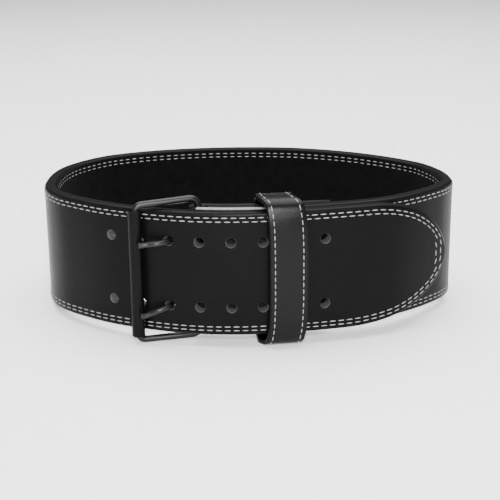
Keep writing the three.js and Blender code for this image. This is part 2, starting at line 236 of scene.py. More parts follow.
def mottled(tree, shader, place, size, dark, light, rough):
    """Colour and roughness that drift together over patches of that size, in mm."""
    patches = add_node(
        tree, "ShaderNodeTexNoise", {},
        {"Scale": 1 / (size * MM), "Detail": 4.0, "Roughness": 0.55}, {"Vector": place},
    )
    colour = add_node(
        tree, "ShaderNodeMix", {"data_type": "RGBA"}, {}, {"Factor": patches.outputs["Fac"]}
    )
    colour.inputs["A"].default_value = paint(dark)
    colour.inputs["B"].default_value = paint(light)
    drift = add_node(
        tree, "ShaderNodeMapRange", {}, {"To Min": rough[0], "To Max": rough[1]},
        {"Value": patches.outputs["Fac"]},
    )
    tree.links.new(colour.outputs["Result"], shader.inputs["Base Color"])
    tree.links.new(drift.outputs["Result"], shader.inputs["Roughness"])


def grained(tree, shader, place, grains, depth):
    """A bump of noise grains, each (size in mm, weight), up to that depth in mm."""
    height = None
    for size, weight in grains:
        grain = add_node(
            tree, "ShaderNodeTexNoise", {}, {"Scale": 1 / (size * MM), "Detail": 2.0},
            {"Vector": place},
        )
        part = add_node(
            tree, "ShaderNodeMath", {"operation": "MULTIPLY"}, {}, {0: grain.outputs["Fac"]}
        )
        part.inputs[1].default_value = weight
        if height is None:
            height = part
        else:
            height = add_node(
                tree, "ShaderNodeMath", {"operation": "ADD"}, {},
                {0: height.outputs["Value"], 1: part.outputs["Value"]},
            )
    bump = add_node(
        tree, "ShaderNodeBump", {}, {"Strength": 1.0, "Distance": depth * MM},
        {"Height": height.outputs["Value"]},
    )
    tree.links.new(bump.outputs["Normal"], shader.inputs["Normal"])


# %% [markdown]
# ## Leather finishes
# The outer face is aniline-dyed black grain leather with a wax finish: matte, with a fine tight
# grain and soft cloudy patches. The eye sees near black with a faint sheen at grazing angles.
# Hide grain is about 0.4 mm across, finer than a pixel of the render, so a coarser one of 0.9 mm
# and a slow swell of 6 mm are drawn with it. Dull wax reflects little: its specular level is low.

# %% Black grain leather
black_leather, tree, shader = new_finish(
    "waxed_black_grain_leather", {"IOR": 1.5, "Specular IOR Level": 0.06}
)
spot = add_node(tree, "ShaderNodeAttribute", {"attribute_name": "flat"}).outputs["Vector"]
mottled(tree, shader, spot, size=34.0, dark="#040404", light="#090909", rough=(0.27, 0.37))
grained(tree, shader, spot, grains=[(0.9, 1.0), (0.4, 0.5), (6.0, 1.2)], depth=0.1)

# %% [markdown]
# The keeper is cut from firmer leather and rubbed shiny by the strap that slides under it. The
# eye sees a soft bright patch where its front turns over the top.

# %% Polished keeper leather
keeper_leather, tree, shader = new_finish(
    "burnished_black_keeper_leather", {"IOR": 1.5, "Specular IOR Level": 0.13}
)
spot = add_node(tree, "ShaderNodeAttribute", {"attribute_name": "flat"}).outputs["Vector"]
mottled(tree, shader, spot, size=26.0, dark="#040404", light="#090909", rough=(0.27, 0.36))
grained(tree, shader, spot, grains=[(0.9, 1.0), (0.4, 0.5), (6.0, 1.2)], depth=0.1)

# %% [markdown]
# The cut rim is sanded, dyed and coated with black edge paint. It has no grain, so the eye sees
# an even satin band with a soft light line along the top. The paint dries in ripples, which are
# drawn 2.4 mm long, because the finer ones of 0.7 mm hardly show.

# %% Painted rim
painted_rim, tree, shader = new_finish(
    "black_acrylic_edge_paint", {"IOR": 1.49, "Specular IOR Level": 0.055}
)
spot = add_node(tree, "ShaderNodeAttribute", {"attribute_name": "flat"}).outputs["Vector"]
mottled(tree, shader, spot, size=5.0, dark="#080808", light="#101010", rough=(0.3, 0.42))
grained(tree, shader, spot, grains=[(2.4, 1.0), (0.7, 0.4)], depth=0.12)

# %% [markdown]
# The lining is brushed suede: its raised nap takes the light away, so it is the darkest part,
# with a cloudy pattern where the nap lies in different directions. The nap of 0.5 mm is too fine
# to show, so tufts of 1.6 mm are drawn with it.

# %% Suede lining
black_suede, tree, shader = new_finish(
    "brushed_black_suede",
    {"IOR": 1.45, "Specular IOR Level": 0.05, "Sheen Weight": 0.01, "Sheen Roughness": 0.6},
)
spot = add_node(tree, "ShaderNodeAttribute", {"attribute_name": "flat"}).outputs["Vector"]
mottled(tree, shader, spot, size=8.0, dark="#010101", light="#0a0a0a", rough=(0.88, 0.98))
grained(tree, shader, spot, grains=[(0.5, 1.0), (1.6, 0.7)], depth=0.25)

# %% [markdown]
# The fold round the bar is the same hide split thin. Its top edge in front of the bar is drawn
# as a pale grey line over the dark face, mottled in specks of 2.5 mm. The walls of the punched
# holes show bare fibre, dyed grey.

# %% Fold leather and its pale top edge
fold_leather, tree, shader = new_finish(
    "split_black_leather", {"IOR": 1.5, "Specular IOR Level": 0.12}
)
spot = add_node(tree, "ShaderNodeAttribute", {"attribute_name": "flat"}).outputs["Vector"]
mottled(tree, shader, spot, size=16.0, dark="#090909", light="#111111", rough=(0.55, 0.7))
grained(tree, shader, spot, grains=[(0.8, 1.0)], depth=0.12)

# The top edge of the fold in front of the bar is drawn pale grey.
pale_fold_edge, tree, shader = new_finish(
    "pale_grey_fold_edge", {"IOR": 1.5, "Specular IOR Level": 0.3}
)
spot = add_node(tree, "ShaderNodeAttribute", {"attribute_name": "flat"}).outputs["Vector"]
mottled(tree, shader, spot, size=2.5, dark="#4e4c49", light="#a19e99", rough=(0.8, 0.95))
grained(tree, shader, spot, grains=[(0.4, 1.0)], depth=0.2)

hole_wall, tree, shader = new_finish(
    "punched_leather_wall", {"IOR": 1.5, "Specular IOR Level": 0.3}
)
spot = add_node(tree, "ShaderNodeAttribute", {"attribute_name": "flat"}).outputs["Vector"]
mottled(tree, shader, spot, size=1.6, dark="#2c2c2c", light="#4c4c4c", rough=(0.6, 0.8))

# %% [markdown]
# The seams are sewn with bonded grey polyester thread. A stitch is a lighter dash whose brightness
# varies from one to the next with wax and wear. The twist of 0.35 mm only shows close up.

# %% Thread
grey_thread, tree, shader = new_finish(
    "bonded_grey_polyester_thread", {"IOR": 1.55, "Specular IOR Level": 0.4}
)
spot = add_node(tree, "ShaderNodeAttribute", {"attribute_name": "flat"}).outputs["Vector"]
mottled(tree, shader, spot, size=9.0, dark="#5e5e5e", light="#8c8c8c", rough=(0.5, 0.7))
grained(tree, shader, spot, grains=[(0.35, 1.0)], depth=0.12)

# %% [markdown]
# The buckle is bent steel wire with a baked black enamel. It is a satin one, so the eye sees a
# soft highlight along every wire. On the roller the strap has rubbed it, which leaves only a
# faint narrow line of light. The cut ends of the prongs show paler ground metal.

# %% Enamelled steel
black_enamel, tree, shader = new_finish(
    "baked_black_enamel_on_steel", {"IOR": 1.52, "Specular IOR Level": 0.3}
)
spot = add_node(tree, "ShaderNodeTexCoord").outputs["Object"]
mottled(tree, shader, spot, size=6.0, dark="#050505", light="#0a0a0a", rough=(0.36, 0.42))
grained(tree, shader, spot, grains=[(1.2, 1.0)], depth=0.003)

worn_enamel, tree, shader = new_finish(
    "rubbed_black_enamel_on_tube", {"IOR": 1.52, "Specular IOR Level": 0.06}
)
spot = add_node(tree, "ShaderNodeTexCoord").outputs["Object"]
mottled(tree, shader, spot, size=6.0, dark="#050505", light="#0a0a0a", rough=(0.24, 0.34))
grained(tree, shader, spot, grains=[(1.2, 1.0)], depth=0.01)

cut_metal, tree, shader = new_finish("ground_steel_end", {"Metallic": 1.0})
spot = add_node(tree, "ShaderNodeTexCoord").outputs["Object"]
mottled(tree, shader, spot, size=1.0, dark="#484848", light="#6a6a6a", rough=(0.4, 0.55))
print("finishes:", len(bpy.data.materials))

# %% [markdown]
# ## Cutting and bending leather
# A strip starts as a flat grid that is rolled round the section and closed, as thick as the
# leather, with its corners rounded over. Holes are punched while it is flat. Bending it moves
# every point along the loop and keeps the flat place on the mesh for the finish. A curve
# modifier could bend it too, but not with a depth that changes on the way.

# %% Rings round a flat strip
merge_gap = 0.001 * MM
leather_crease = math.radians(38)
widest_round = 0.45


def only(piece):
    """piece is the one selected and active object."""
    bpy.ops.object.select_all(action="DESELECT")
    piece.select_set(True)
    bpy.context.view_layer.objects.active = piece


def outline_normals(points, inside):
    """Unit vectors across an outline of (distance, height) points, towards the inside."""
    slopes = np.gradient(points, axis=0)
    slopes /= np.linalg.norm(slopes, axis=1, keepdims=True)
    across = np.stack([-slopes[:, 1], slopes[:, 0]], 1)
    return across * inside


def strip_rings(lower, upper, depth, thick, rim, rows, arc_steps=4):
    """Rings of (distance, depth, height) points round a strip, one for each outline pair."""
    lower_in, upper_in = outline_normals(lower, 1), outline_normals(upper, -1)
    angles = np.linspace(0, math.pi / 2, arc_steps + 1)
    shares = np.linspace(0, 1, rows + 1)[:, None]
    rings = []
    stations = zip(lower, upper, lower_in, upper_in, depth, thick)
    for low, high, low_in, high_in, start, wall in stations:
        turn = min(rim, wall * widest_round)
        corner = [(turn * (1 - math.sin(a)), turn * (1 - math.cos(a))) for a in angles]
        low_side = [(low + low_in * off, sink) for off, sink in corner]
        high_side = [(high + high_in * off, sink) for off, sink in corner]
        face = low_side[0][0] * (1 - shares) + high_side[0][0] * shares
        walk = [(place, 0) for place in face] + high_side[1:]
        walk += [(place, wall - sink) for place, sink in reversed(high_side)]
        walk += [(place, wall) for place in face[::-1][1:-1]]
        walk += [(place, wall - sink) for place, sink in low_side]
        walk += reversed(low_side)
        rings.append([(place[0], start + sink, place[1]) for place, sink in walk])
    return rings


# %% Roll a strip from a grid
def roll_strip(name, rings):
    """A closed flat strip through the rings, made from a grid that is rolled up and closed."""
    bpy.ops.object.select_all(action="DESELECT")
    columns, rows = len(rings) - 1, len(rings[0]) - 1
    bpy.ops.mesh.primitive_grid_add(x_subdivisions=columns, y_subdivisions=rows, size=1)
    strip = bpy.context.object
    strip.name = name
    places = np.array(rings) * MM
    cells = np.array([vertex.co for vertex in strip.data.vertices]) + 0.5
    column = np.rint(cells[:, 0] * columns).astype(int)
    row = np.rint(cells[:, 1] * rows).astype(int)
    strip.data.vertices.foreach_set("co", places[column, row].astype(np.float32).ravel())
    bpy.ops.object.mode_set(mode="EDIT")
    bpy.ops.mesh.select_all(action="SELECT")
    bpy.ops.mesh.remove_doubles(threshold=merge_gap)
    bpy.ops.mesh.fill_holes(sides=0)
    bpy.ops.mesh.select_all(action="SELECT")
    bpy.ops.mesh.normals_make_consistent(inside=False)
    bpy.ops.object.mode_set(mode="OBJECT")
    return strip


# %% Bend a piece, attach it to the belt, cut one with another
def bend(piece, path):
    """Bends a flat piece along a path and keeps each point's flat place for its finish."""
    count = len(piece.data.vertices)
    flat = np.empty(count * 3, np.float32)
    piece.data.vertices.foreach_get("co", flat)
    kept = piece.data.attributes.new("flat", "FLOAT_VECTOR", "POINT")
    kept.data.foreach_set("vector", flat)
    flat = flat.reshape(-1, 3).astype(float) / MM
    bent = standing(path(flat[:, 0], flat[:, 1], flat[:, 2]))
    piece.data.vertices.foreach_set("co", bent.astype(np.float32).ravel())
    piece.data.update()
    only(piece)
    bpy.ops.object.mode_set(mode="EDIT")
    bpy.ops.mesh.select_all(action="SELECT")
    bpy.ops.mesh.normals_make_consistent(inside=False)
    bpy.ops.object.mode_set(mode="OBJECT")
    bpy.ops.object.shade_smooth_by_angle(angle=leather_crease)


def hand_in(piece, slot_name, *nodes):
    """The piece rides on the belt and stands for the frame's nodes. Its slot name is not used."""
    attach(piece, "root")
    if nodes:
        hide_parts(*nodes)
    print(piece.name, "faces:", len(piece.data.polygons))


def cut_away(piece, cutter):
    """Takes the cutter's shape out of the piece and removes the cutter."""
    only(piece)
    cutting = piece.modifiers.new("cut", "BOOLEAN")
    cutting.operation = "DIFFERENCE"
    cutting.solver = "EXACT"
    cutting.object = cutter
    bpy.ops.object.modifier_apply(modifier="cut")
    bpy.data.objects.remove(cutter)


# %% [markdown]
# ## Hole punch
# A hand punch leaves a round hole whose outer mouth is pressed in softly. The punch starts as
# a disc that is extruded and resized row by row, wide in front of the leather and straight from
# just inside it, and is then copied to every hole. Each row is a depth and a radius.

# %% Punches for all the holes
hole_radius = 3.8
mouth_rows = [(-1.0, 5.4), (-0.1, 4.6), (0.25, 4.25), (0.8, 3.95), (1.6, hole_radius)]
hole_sides = 32


def make_punches(rows, places, name):
    """One object with a punch of those depths and radii at every (distance, height)."""
    bpy.ops.object.select_all(action="DESELECT")
    bpy.ops.mesh.primitive_circle_add(
        vertices=hole_sides, radius=rows[0][1] * MM, fill_type="NGON",
        location=(0, rows[0][0] * MM, 0), rotation=(math.pi / 2, 0, 0),
    )
    first = bpy.context.object
    bpy.ops.object.transform_apply(location=True, rotation=True)
    bpy.ops.object.mode_set(mode="EDIT")
    bpy.ops.mesh.select_all(action="SELECT")
    for (depth, radius), (next_depth, next_radius) in zip(rows, rows[1:]):
        bpy.ops.mesh.extrude_region_move(
            TRANSFORM_OT_translate={"value": (0, (next_depth - depth) * MM, 0)}
        )
        share = next_radius / radius
        bpy.ops.transform.resize(value=(share, 1, share), center_override=(0, next_depth * MM, 0))
    bpy.ops.mesh.select_all(action="SELECT")
    bpy.ops.mesh.normals_make_consistent(inside=False)
    bpy.ops.object.mode_set(mode="OBJECT")
    punches = []
    for distance, height in places:
        copy = first.copy()
        copy.data = first.data.copy()
        copy.location = (distance * MM, 0, height * MM)
        bpy.context.collection.objects.link(copy)
        punches.append(copy)
    bpy.data.objects.remove(first)
    bpy.ops.object.select_all(action="DESELECT")
    for punch in punches:
        punch.select_set(True)
    bpy.context.view_layer.objects.active = punches[0]
    bpy.ops.object.join()
    punches[0].name = name
    bpy.ops.object.transform_apply(location=True)
    return punches[0]


hole_places = [
    (loop.length + first_hole - pair * hole_pitch, height)
    for pair in range(hole_pairs)
    for height in hole_heights
]
print("holes:", len(hole_places))

# %% [markdown]
# ## Outline of the strap
# The strap runs straight from the buckle to the tongue, and its stations come closer together
# round the oval tip. They stop just short of a quarter turn, so that the edges never cross.
# The same stations serve the leather and the lining.

# %% Stations and outline
station_step = 3.0
tip_steps = 44
tip_turn = math.radians(89.2)


def stations_from(start):
    """Distances from a start to the very tip."""
    tip_start = tip_end - tip_lower[0]
    steps = int((tip_start - start) / station_step)
    straight = np.linspace(start, tip_start, steps, endpoint=False)
    turn = np.linspace(0, tip_turn, tip_steps)
    return np.append(straight, tip_start + tip_lower[0] * np.sin(turn))


def outline_from(distances):
    """Lower and upper outline points of the strap at those distances."""
    lower = np.stack([distances, strap_middle - reach_at(distances, tip_lower)], 1)
    upper = np.stack([distances, strap_middle + reach_at(distances, tip_upper)], 1)
    return lower, upper


whole = stations_from(ply_step)
low_line, high_line = outline_from(whole)
rim_tree = kdtree.KDTree(2 * len(whole))
for number, (distance, height) in enumerate(np.vstack([low_line, high_line])):
    rim_tree.insert((distance, height, 0), number)
rim_tree.balance()
print("stations:", len(whole))

# %% [markdown]
# ## Strap
# The leather strap is thinned for its first part, where the fold round the bar lies on it, and
# has its full thickness from there to the tip. Its rim is painted and its holes are punched.

# %% Leather strap
strap_rows = 14
thin = np.arange(strap_start, ply_step - station_step / 2, station_step)
strap_stations = np.concatenate([thin, [ply_step - seat_gap], whole])
lower, upper = outline_from(strap_stations)
recess = np.where(strap_stations < ply_step, fold_thick + seat_gap, 0.0)
rings = strip_rings(lower, upper, recess, leather_thick - recess, rim_round, strap_rows)
strap = roll_strip("leather_strap", rings)
strap_punch_rows = mouth_rows + [(strap_thick, hole_radius)]
cut_away(strap, make_punches(strap_punch_rows, hole_places, "strap_punches"))
strap.data.materials.append(black_leather)
strap.data.materials.append(painted_rim)
strap.data.materials.append(hole_wall)

# %% Paint the rim and show the walls of the holes
wall_reach = mouth_rows[2][1] - 0.1
rim_reach = 0.9 * rim_round
mostly_outward = 0.9
quite_outward = 0.99


def is_hole_wall(centre, normal):
    """Whether a flat face belongs to the wall of a hole: near one and not facing straight out."""
    if abs(normal.y) > mostly_outward:
        return False
    near = min(math.hypot(centre.x / MM - d, centre.z / MM - h) for d, h in hole_places)
    return near < wall_reach


def is_rim(centre, normal):
    """Whether a flat face lies on the rounded rim of the strap."""
    x, z = centre.x / MM, centre.z / MM
    if z < rim_reach or z > strap_height - rim_reach:
        return True
    if x < tip_end - tip_lower[0] or abs(normal.y) > quite_outward:
        return False
    return rim_tree.find((x, z, 0))[2] < rim_reach


for face in strap.data.polygons:
    if is_hole_wall(face.center, face.normal):
        face.material_index = 2
    elif is_rim(face.center, face.normal):
        face.material_index = 1
bend(strap, strap_path)
hand_in(strap, "black_leather", "strap")

# %% [markdown]
# ## Suede lining
# The lining is sewn to the whole inner face and stops just short of the rounded rim, so that it
# is only seen inside the belt.

# %% Lining
lining_in = 0.9
lining_setback = 0.6
glued_in = 0.05
punch_room = 1.0
lining_stations = stations_from(ply_step + lining_setback)
lower, upper = outline_from(lining_stations)
lower = lower + outline_normals(lower, 1) * lining_in
upper = upper + outline_normals(upper, -1) * lining_in
count = len(lining_stations)
lining_depth = np.full(count, leather_thick - glued_in)
lining_walls = np.full(count, lining_thick + glued_in)
rings = strip_rings(lower, upper, lining_depth, lining_walls, rim=0.5, rows=strap_rows, arc_steps=3)
lining = roll_strip("suede_lining_skin", rings)
lining_rows = [
    (leather_thick - punch_room, hole_radius), (strap_thick + punch_room, hole_radius),
]
cut_away(lining, make_punches(lining_rows, hole_places, "lining_punches"))
lining.data.materials.append(black_suede)
bend(lining, strap_path)
hand_in(lining, "black_suede", "suede_lining")

# %% [markdown]
# ## Buckle fold
# A thin ply of leather lies between the tongue and the strap, turns round the bar of the buckle
# and runs back inside, thinner towards its end. Two slots leave room for the eyes of the
# prongs. Its top edge in front of the bar is pale grey.

# %% Fold path
pivot_inward = stack + fold_thick + seat_gap + wire_radius
wrap_radius = wire_radius + seat_gap + fold_thick
front_length = ply_step - seat_gap - pivot_distance
wrap_length = math.pi * wrap_radius
rear_length = 114.0
fold_rear = stack + strap_thick + seat_gap
pivot_centre = off_loop(np.array([pivot_distance]), np.array([pivot_inward]), strap_middle)[0]
pivot_slope = loop.at(np.array([pivot_distance % loop.length]))[1][0]
pivot_out = np.array([pivot_slope[1], -pivot_slope[0]])


def fold_path(along, depth, height):
    """A place in the flat fold strip, once it is bent round the bar. Depth 0 is the grain side."""
    front = off_loop(pivot_distance + front_length - along, stack + depth, height)
    back_along = along - front_length - wrap_length
    back = off_loop(pivot_distance + back_along, fold_rear + fold_thick - depth, height)
    turn = np.clip((along - front_length) / wrap_radius, 0, math.pi)
    away = np.cos(turn)[:, None] * pivot_out - np.sin(turn)[:, None] * pivot_slope
    round_bar = pivot_centre[:2] + away * (wrap_radius - depth)[:, None]
    wrapped = np.concatenate([round_bar, np.broadcast_to(height, along.shape)[:, None]], 1)
    bent = np.where((along < front_length)[:, None], front, wrapped)
    return np.where((along > front_length + wrap_length)[:, None], back, bent)


# %% Fold strip
fold_length = front_length + wrap_length + rear_length
taper_length = 14.0
taper_thick = 2.0
wrap_steps = 25
fold_stations = np.unique(np.concatenate([
    np.arange(0, front_length, station_step),
    np.linspace(front_length, front_length + wrap_length, wrap_steps),
    np.arange(front_length + wrap_length, fold_length, station_step), [fold_length],
]))
taper = np.clip((fold_stations - (fold_length - taper_length)) / taper_length, 0, 1)
fold_walls = fold_thick - (fold_thick - taper_thick) * taper
lower = np.stack([fold_stations, np.zeros(len(fold_stations))], 1)
upper = np.stack([fold_stations, np.full(len(fold_stations), strap_height)], 1)
fold_depth = fold_thick - fold_walls
rings = strip_rings(lower, upper, fold_depth, fold_walls, rim=0.9, rows=12, arc_steps=3)
fold = roll_strip("buckle_fold_ply", rings)

# %% Slots and the pale top edge
slot_reach = wire_radius + 2 * prong_radius + 2 * seat_gap
slot_height = 9.0
slot_heights = (26.0, 76.9)
slot_depth = 3 * fold_thick
pale_edge_reach = 0.8
for slot_middle in slot_heights:
    bpy.ops.object.select_all(action="DESELECT")
    bpy.ops.mesh.primitive_cube_add(
        size=MM,
        location=Vector((front_length + wrap_length / 2, fold_thick / 2, slot_middle)) * MM,
        scale=(wrap_length + 2 * slot_reach, slot_depth, slot_height),
    )
    cut_away(fold, bpy.context.object)
fold.data.materials.append(fold_leather)
fold.data.materials.append(pale_fold_edge)
# The top faces of the fold's front part, before it turns round the bar, take the pale grey finish.
for face in fold.data.polygons:
    top = face.center.z / MM > strap_height - pale_edge_reach
    face.material_index = 1 if top and face.center.x / MM < front_length else 0
bend(fold, fold_path)
hand_in(fold, "fold_leather", "buckle_fold")

# %% [markdown]
# ## Keeper
# The keeper is a short leather strip bent round the whole stack, its ends butted behind. Its
# front bows out over the top, and it is pushed along the strap in front. Each row is a share of
# the room in front or behind, and a share of half its height.

# %% Keeper path
keeper_width = 29.5
keeper_wall = 3.5
keeper_place = 39.0
keeper_inner_height = 113.0
keeper_rise = 0.5
keeper_bow = 6.0
keeper_skew = 8.0
keeper_rows = [
    (1.0, 0.0), (0.95, 0.5), (0.72, 0.8), (0.25, 0.955), (-0.3, 1.0),
    (-0.83, 0.955), (-1.005, 0.87), (-1.0, 0.6), (-1.0, -0.6), (-1.005, -0.93),
    (-0.88, -0.985), (-0.3, -1.0), (0.25, -0.955), (0.72, -0.8), (0.95, -0.5),
]
stack_depth = 2 * strap_thick + overlap_gap + seat_gap + fold_thick
front_room = seat_gap + keeper_bow + keeper_wall / 2
rear_room = stack_depth + seat_gap + keeper_wall / 2
half_height = (keeper_inner_height + keeper_wall) / 2
keeper_plan = [
    (out * (front_room if out > 0 else rear_room), strap_middle + keeper_rise + up * half_height)
    for out, up in keeper_rows
]
keeper_curve_steps = 60
keeper_ring = Rail(smooth_through(keeper_plan, True, keeper_curve_steps))


def keeper_path(along, depth, across):
    """A place in the flat keeper strip, once it is bent round the stack. Depth 0 is the outside."""
    spot, slope = keeper_ring.at(np.mod(along + keeper_ring.length / 2, keeper_ring.length))
    off = keeper_wall / 2 - depth
    out = spot[:, 0] + slope[:, 1] * off
    height = spot[:, 1] - slope[:, 0] * off
    skew = keeper_skew * np.minimum((front_room - spot[:, 0]) / (2 * front_room), 1)
    return off_loop(keeper_place + across - skew, -out, height)


# %% Keeper strip
keeper_steps = 150
painted_reach = 1.15
keeper_stations = np.linspace(0, keeper_ring.length, keeper_steps)
half_width = keeper_width / 2
lower = np.stack([keeper_stations, np.full(len(keeper_stations), -half_width)], 1)
upper = np.stack([keeper_stations, np.full(len(keeper_stations), half_width)], 1)
count = len(keeper_stations)
keeper_walls = np.full(count, keeper_wall)
rings = strip_rings(lower, upper, np.zeros(count), keeper_walls, rim=1.2, rows=6)
keeper = roll_strip("leather_keeper", rings)
keeper.data.materials.append(keeper_leather)
keeper.data.materials.append(painted_rim)
for face in keeper.data.polygons:
    face.material_index = 1 if abs(face.center.z / MM) > half_width - painted_reach else 0
bend(keeper, keeper_path)
hand_in(keeper, "black_leather", "keeper")

# %% [markdown]
# ## Buckle frame
# The frame is one wire bent into a rectangle. A plane takes its four corners, the corners are
# rounded by a vertex bevel, and the edge becomes a round wire.

# %% Corners of the frame
frame_inner_height = 104.8
frame_drop = 1.6
frame_rise = 1.8
frame_flare = 1.3
roller_radius = 5.2
roller_slack = 0.5
roller_corner = 5.0
bar_corner = 7.0
roller_seat = np.array([-(seat_gap + roller_radius)])
roller_centre = off_loop(np.array([roller_distance]), roller_seat, strap_middle)[0]
frame_along = pivot_centre[:2] - roller_centre[:2]
frame_run = float(np.linalg.norm(frame_along))
frame_along /= frame_run


def frame_corner(run, grown, up):
    """A sharp corner of the frame's centre line, beside the loop, in mm."""
    half = (frame_inner_height + 2 * wire_radius) / 2 + frame_flare * grown
    flat = roller_centre[:2] + frame_along * run
    return (*flat, strap_middle - frame_drop + frame_rise * grown + up * half)


# %% Bend the corners
corner_steps = 10
bpy.ops.object.select_all(action="DESELECT")
bpy.ops.mesh.primitive_plane_add(size=1)
buckle = bpy.context.object
buckle.name = "wire_frame"
for vertex in buckle.data.vertices:
    at_bar, up = vertex.co.x > 0, math.copysign(1, vertex.co.y)
    vertex.co = Vector(frame_corner(frame_run if at_bar else roller_slack, at_bar, up)) * MM
middle_x = (roller_centre[0] + pivot_centre[0]) / 2 * MM
for radius, at_bar in ((roller_corner, False), (bar_corner, True)):
    bpy.ops.object.mode_set(mode="EDIT")
    bpy.ops.mesh.select_all(action="DESELECT")
    bpy.ops.object.mode_set(mode="OBJECT")
    for vertex in buckle.data.vertices:
        vertex.select = (vertex.co.x > middle_x) == at_bar
    bpy.ops.object.mode_set(mode="EDIT")
    bpy.ops.mesh.select_mode(type="VERT")
    bpy.ops.mesh.bevel(offset=radius * MM, segments=corner_steps, affect="VERTICES")
    bpy.ops.object.mode_set(mode="OBJECT")
bpy.ops.object.mode_set(mode="EDIT")
bpy.ops.mesh.select_all(action="SELECT")
bpy.ops.mesh.delete(type="ONLY_FACE")
bpy.ops.object.mode_set(mode="OBJECT")
print("edges along the wire:", len(buckle.data.edges))

# %% Turn the edges into round wire
wire_steps = 7
metal_crease = math.radians(40)


def wire_round(piece, radius):
    """Turns a line of edges into a round wire, whose ends are closed."""
    only(piece)
    bpy.ops.object.convert(target="CURVE")
    piece = bpy.context.object
    piece.data.dimensions = "3D"
    piece.data.bevel_depth = radius * MM
    piece.data.bevel_resolution = wire_steps
    piece.data.use_fill_caps = True
    bpy.ops.object.convert(target="MESH")
    return bpy.context.object


def stand_up(piece):
    """Gives a finished metal piece the belt's lean and place."""
    only(piece)
    piece.data.transform(stand)
    piece.data.update()
    bpy.ops.object.mode_set(mode="EDIT")
    bpy.ops.mesh.select_all(action="SELECT")
    bpy.ops.mesh.remove_doubles(threshold=merge_gap)
    bpy.ops.mesh.normals_make_consistent(inside=False)
    bpy.ops.object.mode_set(mode="OBJECT")
    bpy.ops.object.shade_smooth_by_angle(angle=metal_crease)


buckle = wire_round(buckle, wire_radius)
buckle.data.materials.clear()
buckle.data.materials.append(black_enamel)
stand_up(buckle)
hand_in(buckle, "black_metal", "buckle_frame")

# %% [markdown]
# ## Roller
# A short tube turns on the front bar so that the strap slides in easily. It is a cylinder. Each
# end is inset and pushed out a little for a chamfer, then inset again and sunk for the bore.

# %% Roller tube
roller_overrun = 1.2
roller_half = (frame_inner_height + 2 * wire_radius) / 2 - roller_corner + roller_overrun
roller_wall = 1.2
roller_lip = 0.4
bore_depth = 6.0
roller_sides = 56
bpy.ops.object.select_all(action="DESELECT")
bpy.ops.mesh.primitive_cylinder_add(
    vertices=roller_sides, radius=roller_radius * MM, depth=2 * roller_half * MM,
    location=(roller_centre[0] * MM, roller_centre[1] * MM, (strap_middle - frame_drop) * MM),
)
roller = bpy.context.object
roller.name = "roller_tube"
bpy.ops.object.transform_apply(location=True)
for end in (1, -1):
    bpy.ops.object.mode_set(mode="EDIT")
    bpy.ops.mesh.select_mode(type="FACE")
    bpy.ops.mesh.select_all(action="DESELECT")
    bpy.ops.object.mode_set(mode="OBJECT")
    for face in roller.data.polygons:
        face.select = face.normal.z * end > mostly_outward
    bpy.ops.object.mode_set(mode="EDIT")
    bpy.ops.mesh.inset(thickness=roller_lip * MM)
    bpy.ops.transform.translate(value=(0, 0, end * roller_lip * MM))
    bpy.ops.mesh.inset(thickness=(roller_wall - roller_lip) * MM)
    bpy.ops.mesh.extrude_region_move(
        TRANSFORM_OT_translate={"value": (0, 0, -end * bore_depth * MM)}
    )
    bpy.ops.object.mode_set(mode="OBJECT")
roller.data.materials.append(worn_enamel)
stand_up(roller)
hand_in(roller, "black_metal", "buckle_roller")

# %% [markdown]
# ## Prongs
# Each prong is a wire with an eye round the bar. It comes through its hole from inside, rises
# to the roller and ends in a slanted cut just over it. Each row of its line is a distance with
# a shift in prong radii, a level with a rise in prong radii, and a share of the tip's drop.

# %% Line of a prong
eye_lift = 0.4
prong_rows = [
    (pivot_distance, -1.15, -pivot_inward, 1.85, -eye_lift),
    (prong_hole, 2.9, -strap_thick, -1.8, -0.2),
    (prong_hole, 0.1, -strap_thick, -0.8, 0.0),
    (prong_hole, -0.1, 0.0, 0.7, 0.05),
    (prong_hole, -2.4, 0.0, 3.3, 0.25),
    (roller_distance, 5.4, 2 * roller_radius, -0.35, 0.65),
    (roller_distance, 3.6, 2 * roller_radius, 0.4, 0.9),
    (roller_distance, 2.0, 2 * roller_radius, 0.75, 1.0),
]
prong_curve_steps = 8


def prong_line(hole, drop):
    """Places along the middle of a prong through that hole, in metres, beside the loop."""
    line = []
    for start, along, level, out, down in prong_rows:
        distance = np.array([start + along * prong_radius])
        inward = np.array([-(level + out * prong_radius)])
        line.append(off_loop(distance, inward, hole - drop * down)[0])
    return smooth_through(line, False, prong_curve_steps) * MM


# %% Two prongs
tip_slant = 0.6
tip_reach_back = 3 * prong_radius
along_cut = 0.98
eye_sides = (36, 14)


